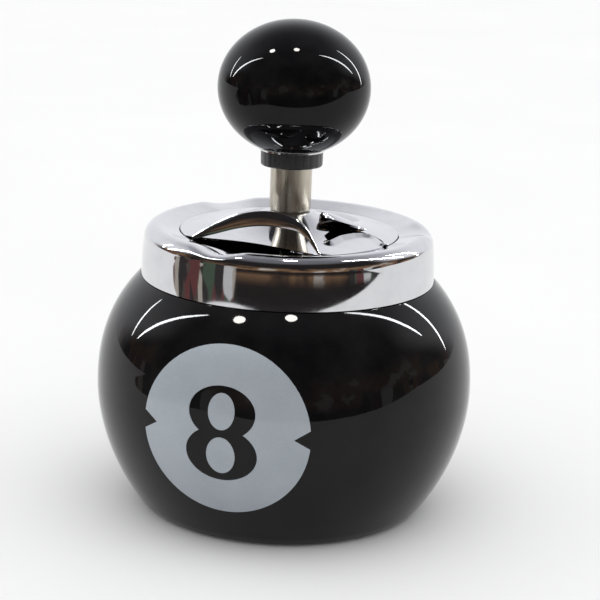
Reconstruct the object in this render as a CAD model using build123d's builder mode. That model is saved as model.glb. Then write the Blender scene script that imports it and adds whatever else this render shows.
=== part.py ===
from build123d import *
import os
from math import asin, cos, hypot, pi, radians, sin, sqrt, tan

# Push-down ashtray in the form of a number 8 ball.
# Millimetres, +Z up, origin on the floor under the centre of the ball, number facing -Y.
# A fixed twisted spindle hangs in a stirrup under the lid. Pushing the knob lowers the tube and
# the rotor plate, and the slotted nut in the rotor's hub follows the twist, so the plate spins.

os.makedirs("parts", exist_ok=True)

# --- driving dimensions -------------------------------------------------------------------------

# Ceramic ball
ball_radius = 55.0
equator_height = 36.5
crown_semi_height = 46.75
crown_exponent = 2.25
foot_semi_height = 58.2
foot_exponent = 1.86
wall = 4.0
floor_thickness = 5.0
foot_lift = 0.4
foot_rounding = 3.0

# Neck of the bowl, which stands up inside the lid
neck_wall = 3.0
neck_sink = 5.6

# Felt pad in the base, inside a bare ring of ceramic
pad_thickness = 1.6
foot_ring_width = 4.6

# Rubber seat ring around the neck
seat_ring_height = 5.4
seat_ring_rounding = 0.8

# Number roundel, a thin transfer on the front of the ball
roundel_radius = 24.0
transfer_thickness = 0.2
upper_lobe_half_width = 9.5
upper_lobe_half_height = 7.4
upper_lobe_rise = 6.1
lower_lobe_half_width = 10.2
lower_lobe_half_height = 7.9
lower_lobe_rise = -5.6
upper_counter_half_width = 3.8
upper_counter_half_height = 5.1
upper_counter_rise = 6.5
lower_counter_half_width = 4.1
lower_counter_half_height = 5.3
lower_counter_rise = -6.0
notch_depth = 4.2
notch_opening = 5.3
roundel_margin = 2.0

# Pressed steel lid
lid_sheet = 0.7
lid_height = 14.6
rim_width = 6.2
shoulder_radius = 4.15
lid_slope = 15.0
lip_bend = 1.3
lip_drop = 1.3
rest_radius = 7.5
rest_depth = 2.6
rest_overrun = 2.0
rest_angles = (19.0, 137.0, 257.0)

# Rotor plate
plate_sheet = 0.6
plate_radius = 31.6
plate_rise = 6.35
plate_sink = 1.86
plate_flat_radius = 6.6
bell_steps = 6
segment_distance = 22.4
segment_angle = 258.2
arch_thickness = 0.8
arch_height = 10.2
arch_band = 4.2
arch_inset = 0.6
arch_end_height = 0.4
arch_top_shares = ((-0.54, 0.53), (-0.17, 0.85), (0.29, 1.0), (0.72, 0.79))
arch_under_shares = ((0.68, 0.79), (0.29, 1.0), (-0.12, 0.88))
arch_low_share = (-0.60, 0.25)
arch_under_ends = (0.93, -0.88)
scoop_angle = 5.0
scoop_distance = 16.4
scoop_turn = 51.0
scoop_half_length = 8.6
scoop_half_width = 5.4
scoop_height = 4.0
scoop_taper = 20.0

# Push tube, knob and collar
tube_radius = 6.0
tube_wall = 0.7
tube_length = 24.0
tube_rounding = 0.6
knob_radius = 21.9
knob_half_height = 19.4
knob_socket_depth = 6.2
collar_wall = 3.0
collar_length = 4.4
collar_rounding = 0.6
washer_thickness = 0.4
washer_margin = 0.4
stud_radius = 2.0
stud_chamfer = 0.4
insert_wall = 1.6
insert_length = 12.0
insert_gap = 0.5
plug_length = 6.0

# Mechanism under the lid
stroke = 12.0
lead = 20.0
hub_wall = 0.8
hub_length = 29.5
hub_flange_thickness = 0.8
hub_end = 0.5
bush_wall = 0.72
bush_length = 5.8
nut_length = 3.0
strip_width = 4.4
strip_thickness = 1.6
clip_thickness = 0.7
clip_groove = 0.4
stirrup_angle = 48.0
stirrup_width = 9.0
stirrup_sheet = 1.0
stirrup_reach = 3.4
stirrup_corner = 0.5
spindle_foot_margin = 0.1
spindle_foot_height = 3.0
spindle_tail = 3.8
hex_nut_wall = 1.55
hex_nut_height = 3.2
seat_thickness = 0.8
cap_margin = 1.0
spring_pressed_length = 9.5
spring_inset = 0.2
spring_wire = 0.35
spring_turns = 7

# Clearances
body_gap = 0.35
plate_gap = 0.7
neck_gap = 0.65
thrust_gap = 0.3
spring_gap = 0.55
running_gap = 0.08
slot_gap = 0.12
ear_gap = 0.05
touch = 0.01

# How far cuts run past the faces that they open, and the least slices in a twisted bar
cut_margin = 1.0
least_slices = 4

# --- places worked out from the driving dimensions ----------------------------------------------


def oval_radius(height, radius, semi_height, exponent):
    """Radius of a superelliptic dome at a height above its widest place."""
    share = (abs(height) / semi_height) ** exponent
    return radius * (1 - share) ** (1 / exponent)


def oval_height(at_radius, radius, semi_height, exponent):
    """Height of a superelliptic dome above its widest place, at a radius."""
    share = (at_radius / radius) ** exponent
    return semi_height * (1 - share) ** (1 / exponent)


# Lid, worked out from the rotor plate that it surrounds
lip_radius = plate_radius + plate_gap
crest_radius = lip_radius + rim_width
skirt_radius = crest_radius + shoulder_radius

# Stirrup legs, just inside the lid's lip, and the neck around them
leg_inner = lip_radius + lid_sheet + ear_gap
leg_outer = leg_inner + stirrup_sheet
ear_end = leg_inner + stirrup_reach
neck_bore = hypot(leg_outer, stirrup_width / 2) + neck_gap
neck_radius = neck_bore + neck_wall

# Ledge where the ball is as wide as the lid
ledge_radius = skirt_radius + body_gap
ledge_height = equator_height + oval_height(
    ledge_radius, ball_radius, crown_semi_height, crown_exponent
)
neck_top = ledge_height + lid_height - neck_sink
bowl_floor = foot_lift + floor_thickness
foot_radius = oval_radius(foot_lift - equator_height, ball_radius, foot_semi_height, foot_exponent)
pad_radius = foot_radius - foot_rounding - foot_ring_width - body_gap

# The cavity's crown meets the neck's bore one wall below the ledge
cavity_rise = ledge_height - wall - equator_height
cavity_crown = cavity_rise / oval_height(neck_bore, ball_radius - wall, 1, crown_exponent)

skirt_bottom = ledge_height + body_gap
crest_height = skirt_bottom + lid_height
shoulder_centre = crest_height - shoulder_radius

plate_edge = crest_height - plate_sink
plate_top = plate_edge + plate_rise

tube_bottom = plate_top + thrust_gap
tube_top = tube_bottom + tube_length
tube_bore = tube_radius - tube_wall
collar_radius = tube_radius + collar_wall
knob_flat_radius = collar_radius + washer_margin
knob_drop = oval_height(knob_flat_radius, knob_radius, knob_half_height, 2)
knob_bottom = tube_top - knob_socket_depth
knob_centre = knob_bottom + knob_drop
washer_bottom = knob_bottom - washer_thickness
collar_bottom = washer_bottom - collar_length
stud_bottom = tube_top - plug_length
insert_radius = stud_radius + insert_wall
insert_bottom = tube_top + insert_gap
insert_top = insert_bottom + insert_length
stud_length = insert_top - thrust_gap - stud_bottom

hub_radius = tube_bore - bush_wall - running_gap
hub_bore = hub_radius - hub_wall
clip_radius = tube_bore - body_gap
clip_bottom = tube_bottom + bush_length + thrust_gap
hub_top = clip_bottom + clip_thickness + hub_end
hub_bottom = hub_top - hub_length
nut_top = hub_bottom + nut_length
stop_bottom = nut_top + body_gap
spindle_top = stop_bottom + 2 * clip_thickness
cap_bottom = hub_bottom - clip_thickness

strip_reach = hypot(strip_width, strip_thickness) / 2
spindle_foot_radius = strip_reach + spindle_foot_margin
spring_length = stroke + spring_pressed_length
spring_radius = hub_radius - spring_inset
spring_bottom = cap_bottom - touch - spring_length
seat_radius = spring_radius + spring_wire + spring_gap + seat_thickness
bar_top = spring_bottom - seat_thickness
bar_bottom = bar_top - stirrup_sheet
twist_bottom = bar_top + spindle_foot_height


# --- shared shapes ------------------------------------------------------------------------------


def write(piece, name):
    """Label a finished piece and write its STEP file."""
    piece.part.label = name
    export_step(piece.part, f"parts/{name}.step")


def ball_outline(growth, crown, bottom, top):
    """Draw the side of the ball, grown by an amount, with a crown, between two heights."""
    radius = ball_radius + growth
    foot = foot_semi_height + growth
    steps = 8
    lower = []
    for step in range(steps + 1):
        height = (bottom - equator_height) * cos(0.5 * pi * step / steps)
        lower.append((oval_radius(height, radius, foot, foot_exponent), equator_height + height))
    upper = []
    for step in range(steps + 1):
        height = (top - equator_height) * sin(0.5 * pi * step / steps)
        upper.append((oval_radius(height, radius, crown, crown_exponent), equator_height + height))
    Spline(lower + upper[1:])
    return lower[0], upper[-1]


def ball_half_section():
    """Half section of the filled ball with its ledge and neck."""
    with BuildSketch(Plane.XZ) as section:
        with BuildLine():
            foot_edge, ledge_edge = ball_outline(0, crown_semi_height, foot_lift, ledge_height)
            Polyline(
                ledge_edge,
                (neck_radius, ledge_height),
                (neck_radius, neck_top),
                (0, neck_top),
                (0, foot_lift),
                foot_edge,
            )
        make_face()
    return section.sketch


def roundel_side(growth):
    """Draw the stretch of the ball's side behind the roundel, grown outward by an amount."""
    reach = roundel_radius + roundel_margin
    crown = crown_semi_height + growth
    return ball_outline(growth, crown, equator_height - reach, equator_height + reach)


def cavity_half_section():
    """Half section of the hollow inside the bowl and its neck."""
    cavity_top = ledge_height - wall
    mouth = neck_top + cut_margin
    with BuildSketch(Plane.XZ) as section:
        with BuildLine():
            floor_edge, neck_edge = ball_outline(-wall, cavity_crown, bowl_floor, cavity_top)
            Polyline(neck_edge, (neck_bore, mouth), (0, mouth), (0, bowl_floor), floor_edge)
        make_face()
    return section.sketch


def lid_skin(depth):
    """Draw the lid's skin, from the skirt's edge to the lip's edge, at a depth in the sheet."""
    lip_centre = lip_radius + lip_bend
    slope_start = crest_radius - shoulder_radius * sin(radians(lid_slope))
    slope_top = shoulder_centre + shoulder_radius * cos(radians(lid_slope))
    slope_end = lip_centre - lip_bend * sin(radians(lid_slope))
    slope_drop = (slope_start - slope_end) * tan(radians(lid_slope))
    lip_height = slope_top - slope_drop - lip_bend * cos(radians(lid_slope))
    skirt = Line((skirt_radius - depth, skirt_bottom), (skirt_radius - depth, shoulder_centre))
    shoulder = CenterArc(
        (crest_radius, shoulder_centre), shoulder_radius - depth, 0, 90 + lid_slope
    )
    bend = CenterArc((lip_centre, lip_height), lip_bend - depth, 90 + lid_slope, 90 - lid_slope)
    Line(shoulder @ 1, bend @ 0)
    lip = Line(bend @ 1, (lip_radius + depth, lip_height - lip_drop))
    return skirt @ 0, lip @ 1


def bell_height(radius):
    """Height of the rotor plate's upper face: flat in the middle, steep beside it, level at its rim."""
    share = (plate_radius - radius) / (plate_radius - plate_flat_radius)
    return plate_edge + plate_rise * share**2


def bell_half_section(drop, bottom):
    """Half section under the plate's bell, lowered by an amount, down to a level."""
    bell = []
    for step in range(bell_steps + 1):
        radius = plate_flat_radius + (plate_radius - plate_flat_radius) * step / bell_steps
        bell.append((radius, bell_height(radius) - drop))
    with BuildSketch(Plane.XZ) as section:
        with BuildLine():
            Line((0, plate_top - drop), bell[0])
            Spline(bell)
            Polyline(bell[-1], (plate_radius, bottom), (0, bottom), (0, plate_top - drop))
        make_face()
    return section.sketch


def twist_angle(height):
    """Turn of the spindle's section at a height, in degrees."""
    return 360 * (height - twist_bottom) / lead


def twisted_bar(bottom, top, growth):
    """Stack of turned rectangles that a loft joins into a twisted strip."""
    steps = max(least_slices, round(top - bottom))
    slices = []
    for step in range(steps + 1):
        height = bottom + (top - bottom) * step / steps
        with BuildSketch(Plane.XY.offset(height)) as slice_sketch:
            Rectangle(
                strip_width + 2 * growth,
                strip_thickness + 2 * growth,
                rotation=twist_angle(height),
            )
        slices.append(slice_sketch.sketch)
    return slices


# --- bowl ---------------------------------------------------------------------------------------

# Hollow ceramic ball with a ledge and a short neck
with BuildPart() as bowl:
    revolve(ball_half_section(), axis=Axis.Z)
    fillet(bowl.edges().group_by(Axis.Z)[0], foot_rounding)
    revolve(cavity_half_section(), axis=Axis.Z, mode=Mode.SUBTRACT)
    with BuildSketch(Plane.XY.offset(foot_lift)):
        Circle(pad_radius + body_gap)
    extrude(amount=pad_thickness - foot_lift, mode=Mode.SUBTRACT)
write(bowl, "bowl")

# Number roundel: a disc with two notches and the figure 8 left out of it, wrapped on the ball
with BuildPart() as number_roundel:
    with BuildSketch(Plane.XZ):
        with BuildLine():
            skin_bottom, skin_top = roundel_side(transfer_thickness)
            glaze_bottom, glaze_top = roundel_side(touch)
            Line(skin_bottom, glaze_bottom)
            Line(skin_top, glaze_top)
        make_face()
    revolve(axis=Axis.Z)
    with BuildSketch(Plane(origin=(0, 0, equator_height), x_dir=(1, 0, 0), z_dir=(0, -1, 0))):
        Circle(roundel_radius)
        with Locations((0, upper_lobe_rise)):
            Ellipse(upper_lobe_half_width, upper_lobe_half_height, mode=Mode.SUBTRACT)
        with Locations((0, lower_lobe_rise)):
            Ellipse(lower_lobe_half_width, lower_lobe_half_height, mode=Mode.SUBTRACT)
        with Locations((0, upper_counter_rise)):
            Ellipse(upper_counter_half_width, upper_counter_half_height)
        with Locations((0, lower_counter_rise)):
            Ellipse(lower_counter_half_width, lower_counter_half_height)
        for side in (1, -1):
            Polygon(
                (side * (roundel_radius - notch_depth), 0),
                (side * (roundel_radius + notch_depth), notch_opening),
                (side * (roundel_radius + notch_depth), -notch_opening),
                align=None,
                mode=Mode.SUBTRACT,
            )
    extrude(amount=2 * ball_radius, mode=Mode.INTERSECT)
write(number_roundel, "number_roundel")

# Felt pad glued into the base
with BuildPart() as base_pad:
    with BuildSketch():
        Circle(pad_radius)
    extrude(amount=pad_thickness)
write(base_pad, "base_pad")

# Rubber ring on the ledge, around the neck, that keeps the lid from rattling
with BuildPart() as lid_seat_ring:
    with BuildSketch(Plane.XY.offset(ledge_height)):
        Circle(skirt_radius - lid_sheet - body_gap)
        Circle(neck_radius, mode=Mode.SUBTRACT)
    extrude(amount=seat_ring_height)
    fillet(lid_seat_ring.edges().group_by(Axis.Z)[-1], seat_ring_rounding)
write(lid_seat_ring, "lid_seat_ring")

# --- lid ----------------------------------------------------------------------------------------

# Filled outline of the lid, used to trim the pressed cigarette rests
with BuildPart() as lid_envelope:
    with BuildSketch(Plane.XZ):
        with BuildLine():
            skirt_end, lip_end = lid_skin(0)
            Polyline(lip_end, (lip_end.X, skirt_bottom), skirt_end)
        make_face()
    revolve(axis=Axis.Z)

# Sheet troughs that the rests are pressed into
rest_centre = crest_height - rest_depth + rest_radius
with BuildPart() as rest_troughs:
    for angle in rest_angles:
        outward = Plane(
            origin=(0, 0, rest_centre),
            x_dir=(-sin(radians(angle)), cos(radians(angle)), 0),
            z_dir=(cos(radians(angle)), sin(radians(angle)), 0),
        )
        with BuildSketch(outward.offset(lip_radius - rest_overrun)):
            Circle(rest_radius + lid_sheet)
            Circle(rest_radius, mode=Mode.SUBTRACT)
        extrude(amount=skirt_radius - lip_radius + 2 * rest_overrun)
    add(lid_envelope.part, mode=Mode.INTERSECT)

# Chromed lid: skirt, rounded shoulder, sloping rim and turned-down lip, with three rests
with BuildPart() as lid_ring:
    with BuildSketch(Plane.XZ):
        with BuildLine():
            outer_skirt, outer_lip = lid_skin(0)
            inner_skirt, inner_lip = lid_skin(lid_sheet)
            Line(outer_skirt, inner_skirt)
            Line(outer_lip, inner_lip)
        make_face()
    revolve(axis=Axis.Z)
    for angle in rest_angles:
        outward = Plane(
            origin=(0, 0, rest_centre),
            x_dir=(-sin(radians(angle)), cos(radians(angle)), 0),
            z_dir=(cos(radians(angle)), sin(radians(angle)), 0),
        )
        with BuildSketch(outward.offset(lip_radius - rest_overrun)):
            Circle(rest_radius)
        extrude(amount=skirt_radius - lip_radius + 2 * rest_overrun, mode=Mode.SUBTRACT)
    add(rest_troughs.part)
write(lid_ring, "lid_ring")

# Stirrup: a bent strip whose two ears lie under the lid's slope and whose bar holds the spindle
slope_fall = tan(radians(lid_slope))
slope_zero = (
    shoulder_centre
    + (shoulder_radius - lid_sheet) / cos(radians(lid_slope))
    - crest_radius * slope_fall
    - touch
)
stirrup_plane = Plane(
    origin=(0, 0, 0),
    x_dir=(cos(radians(stirrup_angle)), sin(radians(stirrup_angle)), 0),
    z_dir=(sin(radians(stirrup_angle)), -cos(radians(stirrup_angle)), 0),
)
with BuildPart() as stirrup:
    with BuildSketch(stirrup_plane):
        with BuildLine():
            Polyline(
                (0, bar_bottom),
                (leg_outer, bar_bottom),
                (leg_outer, slope_zero + leg_outer * slope_fall - stirrup_sheet),
                (ear_end, slope_zero + ear_end * slope_fall - stirrup_sheet),
                (ear_end, slope_zero + ear_end * slope_fall),
                (leg_inner + stirrup_corner, slope_zero + (leg_inner + stirrup_corner) * slope_fall),
                (leg_inner, slope_zero + leg_inner * slope_fall - stirrup_corner),
                (leg_inner, bar_top),
                (0, bar_top),
                close=True,
            )
        make_face()
        mirror(about=Plane.YZ)
    extrude(amount=stirrup_width / 2, both=True)
    with BuildSketch(Plane.XY.offset(bar_bottom)):
        Circle(spindle_foot_radius)
    extrude(amount=stirrup_sheet, mode=Mode.SUBTRACT)
write(stirrup, "stirrup")

# Spindle: round threaded foot and a twisted strip
with BuildPart() as spindle:
    with BuildSketch(Plane.XY.offset(bar_bottom - spindle_tail)):
        Circle(spindle_foot_radius)
    extrude(amount=spindle_tail + stirrup_sheet + spindle_foot_height)
    loft(twisted_bar(twist_bottom, spindle_top, 0), ruled=True)
write(spindle, "spindle")

# Hexagon nut that clamps the spindle's foot
with BuildPart() as spindle_nut:
    with BuildSketch(Plane.XY.offset(bar_bottom - hex_nut_height)):
        RegularPolygon(spindle_foot_radius + hex_nut_wall, 6, major_radius=False)
        Circle(spindle_foot_radius, mode=Mode.SUBTRACT)
    extrude(amount=hex_nut_height)
write(spindle_nut, "spindle_nut")

# Cup washer under the spring
with BuildPart() as spring_seat:
    with BuildSketch(Plane.XY.offset(bar_top)):
        Circle(seat_radius)
        Circle(spindle_foot_radius, mode=Mode.SUBTRACT)
    extrude(amount=seat_thickness)
    with BuildSketch(Plane.XY.offset(spring_bottom)):
        Circle(seat_radius)
        Circle(seat_radius - seat_thickness, mode=Mode.SUBTRACT)
    extrude(amount=seat_thickness)
write(spring_seat, "spring_seat")

# Stop clip on the spindle, above the drive nut, that ends the upward travel
with BuildPart() as stop_clip:
    with BuildSketch(Plane.XY.offset(stop_bottom)):
        Circle(hub_bore - body_gap)
    extrude(amount=clip_thickness)
    add(spindle.part, mode=Mode.SUBTRACT)
write(stop_clip, "stop_clip")

# Return spring between the seat and the rotor's cap
with BuildPart() as return_spring:
    with BuildLine():
        coil = Helix(
            pitch=(spring_length - 2 * spring_wire) / spring_turns,
            height=spring_length - 2 * spring_wire,
            radius=spring_radius,
            center=(0, 0, spring_bottom + spring_wire),
        )
    with BuildSketch(Plane(origin=coil @ 0, z_dir=coil % 0)):
        Circle(spring_wire)
    sweep(path=coil, is_frenet=True)
write(return_spring, "return_spring")

# --- rotor --------------------------------------------------------------------------------------

# Where one segment of the plate is cut away, and where the scoop is
chord_place = Plane(
    origin=(
        segment_distance * cos(radians(segment_angle)),
        segment_distance * sin(radians(segment_angle)),
        plate_edge,
    ),
    x_dir=(-sin(radians(segment_angle)), cos(radians(segment_angle)), 0),
    z_dir=(cos(radians(segment_angle)), sin(radians(segment_angle)), 0),
)
scoop_place = Plane(
    origin=(
        scoop_distance * cos(radians(scoop_angle)),
        scoop_distance * sin(radians(scoop_angle)),
        plate_edge - plate_sheet,
    ),
    x_dir=(cos(radians(scoop_angle + scoop_turn)), sin(radians(scoop_angle + scoop_turn)), 0),
    z_dir=(0, 0, 1),
)

# Outline of the upright arch, along the chord and up from the height of the plate's edge
arch_half = sqrt(plate_radius**2 - segment_distance**2) - arch_inset
arch_top = [(-arch_half, arch_end_height)]
for along, rise in arch_top_shares:
    arch_top.append((along * arch_half, rise * arch_height))
arch_top.append((arch_half, arch_end_height))
arch_under = [(arch_under_ends[0] * arch_half, -plate_sheet)]
for along, rise in arch_under_shares:
    arch_under.append((along * arch_half, rise * arch_height - arch_band))
arch_under.append((arch_low_share[0] * arch_half, arch_low_share[1] * arch_height))
arch_under.append((arch_under_ends[1] * arch_half, -plate_sheet))

# Filled bells up to the plate's two faces
bell_bottom = plate_edge - 2 * plate_sheet
with BuildPart() as bell_outside:
    revolve(bell_half_section(0, bell_bottom), axis=Axis.Z)
with BuildPart() as bell_inside:
    revolve(bell_half_section(plate_sheet, bell_bottom), axis=Axis.Z)


def half_oval(half_length, half_width, side):
    """Half of an oval on one side of the scoop's long axis."""
    with BuildSketch(scoop_place) as oval:
        Ellipse(half_length, half_width)
        with Locations((0, -side * half_width)):
            Rectangle(2 * half_length, 2 * half_width, mode=Mode.SUBTRACT)
    return oval.sketch


# Hollow of the scoop, under its hood, and the opening in front of it
scoop_base = bell_height(scoop_distance) - plate_edge
with BuildPart() as scoop_hollow:
    extrude(
        half_oval(scoop_half_length - plate_sheet, scoop_half_width - plate_sheet, 1),
        amount=scoop_base + scoop_height - plate_sheet,
        taper=scoop_taper,
    )
    extrude(
        half_oval(scoop_half_length - plate_sheet, scoop_half_width - plate_sheet, -1),
        amount=plate_rise + 2 * plate_sheet,
    )

# Hood of the scoop, which rises from the plate all along its edge
with BuildPart() as scoop_hood:
    extrude(
        half_oval(scoop_half_length, scoop_half_width, 1),
        amount=scoop_base + scoop_height,
        taper=scoop_taper,
    )
    add(bell_inside.part, mode=Mode.SUBTRACT)

# Rotor plate: a bell with a cut-away segment, an upright arch along the chord, and a scoop
with BuildPart() as rotor_plate:
    add(bell_outside.part)
    add(bell_inside.part, mode=Mode.SUBTRACT)
    with BuildSketch(Plane.XY.offset(bell_bottom)):
        Circle(hub_radius)
    extrude(amount=plate_top - bell_bottom, mode=Mode.SUBTRACT)
    with BuildSketch(chord_place.offset(arch_thickness / 2)):
        Rectangle(2 * plate_radius, 4 * arch_height)
    extrude(amount=plate_radius, mode=Mode.SUBTRACT)
    with BuildSketch(chord_place):
        with BuildLine():
            Spline(arch_top)
            Line(arch_top[-1], arch_under[0])
            Spline(arch_under)
            Line(arch_under[-1], arch_top[0])
        make_face()
    extrude(amount=arch_thickness / 2, both=True)
    add(scoop_hood.part)
    add(scoop_hollow.part, mode=Mode.SUBTRACT)
write(rotor_plate, "rotor_plate")

# Hub: flanged sleeve under the plate that runs up inside the tube
flange_top = plate_top - plate_sheet
with BuildPart() as rotor_hub:
    with BuildSketch(Plane.XY.offset(hub_bottom)):
        Circle(hub_radius)
    extrude(amount=hub_length)
    with BuildSketch(Plane.XY.offset(flange_top - hub_flange_thickness)):
        Circle(plate_flat_radius)
    extrude(amount=hub_flange_thickness)
    with BuildSketch(Plane.XY.offset(hub_bottom)):
        Circle(hub_bore)
    extrude(amount=hub_length, mode=Mode.SUBTRACT)
    with BuildSketch(Plane.XY.offset(clip_bottom)):
        Circle(hub_radius)
        Circle(hub_radius - clip_groove, mode=Mode.SUBTRACT)
    extrude(amount=clip_thickness, mode=Mode.SUBTRACT)
write(rotor_hub, "rotor_hub")

# Drive nut pressed into the foot of the hub, slotted to follow the twisted strip
with BuildPart() as drive_nut:
    with BuildSketch(Plane.XY.offset(hub_bottom)):
        Circle(hub_bore)
    extrude(amount=nut_length)
    slot = twisted_bar(hub_bottom - cut_margin, nut_top + cut_margin, slot_gap)
    loft(slot, ruled=True, mode=Mode.SUBTRACT)
write(drive_nut, "drive_nut")

# Clip that keeps the hub in the tube
with BuildPart() as retaining_clip:
    with BuildSketch(Plane.XY.offset(clip_bottom)):
        Circle(clip_radius)
        Circle(hub_radius - clip_groove, mode=Mode.SUBTRACT)
    extrude(amount=clip_thickness)
write(retaining_clip, "retaining_clip")

# Washer between the hub and the spring
with BuildPart() as spring_cap:
    with BuildSketch(Plane.XY.offset(cap_bottom)):
        Circle(hub_radius + cap_margin)
        Circle(strip_reach + body_gap, mode=Mode.SUBTRACT)
    extrude(amount=clip_thickness)
write(spring_cap, "spring_cap")

# --- tube and knob ------------------------------------------------------------------------------

# Push tube with a rounded lower edge
with BuildPart() as push_tube:
    with BuildSketch(Plane.XY.offset(tube_bottom)):
        Circle(tube_radius)
    extrude(amount=tube_length)
    fillet(push_tube.edges().group_by(Axis.Z)[0], tube_rounding)
    with BuildSketch(Plane.XY.offset(tube_bottom)):
        Circle(tube_bore)
    extrude(amount=tube_length, mode=Mode.SUBTRACT)
write(push_tube, "push_tube")

# Bush in the tube that the hub turns in
with BuildPart() as tube_bush:
    with BuildSketch(Plane.XY.offset(tube_bottom)):
        Circle(tube_bore)
        Circle(hub_radius + running_gap, mode=Mode.SUBTRACT)
    extrude(amount=bush_length)
write(tube_bush, "tube_bush")

# Plug in the top of the tube, drilled for the stud
with BuildPart() as tube_plug:
    with BuildSketch(Plane.XY.offset(tube_top - plug_length)):
        Circle(tube_bore)
        Circle(stud_radius, mode=Mode.SUBTRACT)
    extrude(amount=plug_length)
write(tube_plug, "tube_plug")

# Stud that joins the tube to the knob
with BuildPart() as knob_stud:
    with BuildSketch(Plane.XY.offset(stud_bottom)):
        Circle(stud_radius)
    extrude(amount=stud_length)
    chamfer(knob_stud.edges().filter_by(GeomType.CIRCLE), stud_chamfer)
write(knob_stud, "knob_stud")

# Brass insert moulded into the knob
with BuildPart() as knob_insert:
    with BuildSketch(Plane.XY.offset(insert_bottom)):
        Circle(insert_radius)
        Circle(stud_radius, mode=Mode.SUBTRACT)
    extrude(amount=insert_length)
write(knob_insert, "knob_insert")

# Collar on the tube, under the knob
with BuildPart() as collar:
    with BuildSketch(Plane.XY.offset(collar_bottom)):
        Circle(collar_radius)
    extrude(amount=collar_length)
    fillet(collar.edges().group_by(Axis.Z)[0], collar_rounding)
    with BuildSketch(Plane.XY.offset(collar_bottom)):
        Circle(tube_radius)
    extrude(amount=collar_length, mode=Mode.SUBTRACT)
write(collar, "collar")

# Bright washer between the collar and the knob
with BuildPart() as knob_washer:
    with BuildSketch(Plane.XY.offset(washer_bottom)):
        Circle(knob_flat_radius)
        Circle(tube_radius, mode=Mode.SUBTRACT)
    extrude(amount=washer_thickness)
write(knob_washer, "knob_washer")

# Oblate knob with a bore for the tube and a narrower one for the insert
knob_side = []
knob_steps = 12
first_climb = -asin(knob_drop / knob_half_height)
first_heading = (-knob_radius * sin(first_climb), knob_half_height * cos(first_climb))
for step in range(knob_steps + 1):
    climb = first_climb + (0.5 * pi - first_climb) * step / knob_steps
    knob_side.append((knob_radius * cos(climb), knob_centre + knob_half_height * sin(climb)))
with BuildPart() as knob:
    with BuildSketch(Plane.XZ):
        with BuildLine():
            Spline(knob_side, tangents=[first_heading, (-1, 0)])
            Polyline(knob_side[-1], (0, knob_bottom), knob_side[0])
        make_face()
    revolve(axis=Axis.Z)
    with BuildSketch(Plane.XY.offset(knob_bottom)):
        Circle(tube_radius)
    extrude(amount=tube_top - knob_bottom, mode=Mode.SUBTRACT)
    with BuildSketch(Plane.XY.offset(tube_top)):
        Circle(insert_radius)
    extrude(amount=insert_top - tube_top, mode=Mode.SUBTRACT)
write(knob, "knob")
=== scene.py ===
import math

import bmesh
import bpy
from mathutils import Matrix, Vector
from mathutils.geometry import delaunay_2d_cdt


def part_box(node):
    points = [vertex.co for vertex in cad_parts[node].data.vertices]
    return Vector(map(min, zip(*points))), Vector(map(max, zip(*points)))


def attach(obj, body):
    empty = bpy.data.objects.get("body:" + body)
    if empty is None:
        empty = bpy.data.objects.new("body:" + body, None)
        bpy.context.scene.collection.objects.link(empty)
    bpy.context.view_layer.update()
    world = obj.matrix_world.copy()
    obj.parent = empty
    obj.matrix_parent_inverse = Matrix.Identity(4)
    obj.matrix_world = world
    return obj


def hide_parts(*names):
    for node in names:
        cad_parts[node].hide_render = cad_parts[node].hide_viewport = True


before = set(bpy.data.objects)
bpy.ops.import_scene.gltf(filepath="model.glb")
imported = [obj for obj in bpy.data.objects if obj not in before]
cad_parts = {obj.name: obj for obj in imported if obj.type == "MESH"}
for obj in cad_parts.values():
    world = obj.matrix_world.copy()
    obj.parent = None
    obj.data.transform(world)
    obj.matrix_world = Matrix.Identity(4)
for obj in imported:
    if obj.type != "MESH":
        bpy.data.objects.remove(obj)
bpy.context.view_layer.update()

MM = 0.001


def node_size(node):
    """Size of a CAD node along x, y and z, in millimetres."""
    low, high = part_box(node)
    return [(h - l) / MM for l, h in zip(low, high)]


def node_bottom(node):
    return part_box(node)[0].z / MM


def node_top(node):
    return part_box(node)[1].z / MM


# --- sizes, in millimetres ----------------------------------------------------------------------

# Ball: the width comes from the frame, the shape of its side is a superellipse
BALL_RADIUS = node_size("bowl")[0] / 2
EQUATOR = 36.5
CROWN_SEMI_HEIGHT = 46.75
CROWN_EXPONENT = 2.25
FOOT_SEMI_HEIGHT = 58.2
FOOT_EXPONENT = 1.86
WALL = 4.0
FOOT_BOTTOM = node_bottom("bowl")
BOWL_FLOOR = FOOT_BOTTOM + 5.0
PAD_RECESS_RADIUS = node_size("base_pad")[0] / 2 + 0.35
PAD_TOP = node_top("base_pad")
NECK_BORE = 35.0
NECK_RADIUS = NECK_BORE + 3.0
NECK_TOP = node_top("bowl")
LEDGE = node_bottom("lid_seat_ring")

# Roundel and its figure
ROUNDEL_RADIUS = node_size("number_roundel")[2] / 2
TRANSFER = 0.15
NOTCH_DEPTH = 4.2
NOTCH_OPENING = 5.3

# Lid
LID_SHEET = 0.7
SKIRT_RADIUS = node_size("lid_ring")[0] / 2
SKIRT_BOTTOM = node_bottom("lid_ring")
CREST = node_top("lid_ring")
SHOULDER = 4.15
CREST_RADIUS = SKIRT_RADIUS - SHOULDER
LID_SLOPE = math.radians(15.0)
SKIRT_LEAN = 0.6
LIP_RADIUS = 31.75
LIP_BEND = 0.5
LIP_DROP = 1.8
REST_DEPTH = 1.35
REST_SPREAD = 0.032
REST_SOFTNESS = 2.0
REST_ANGLES = [math.radians(a) for a in (19.0, 137.0, 257.0)]

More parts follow.
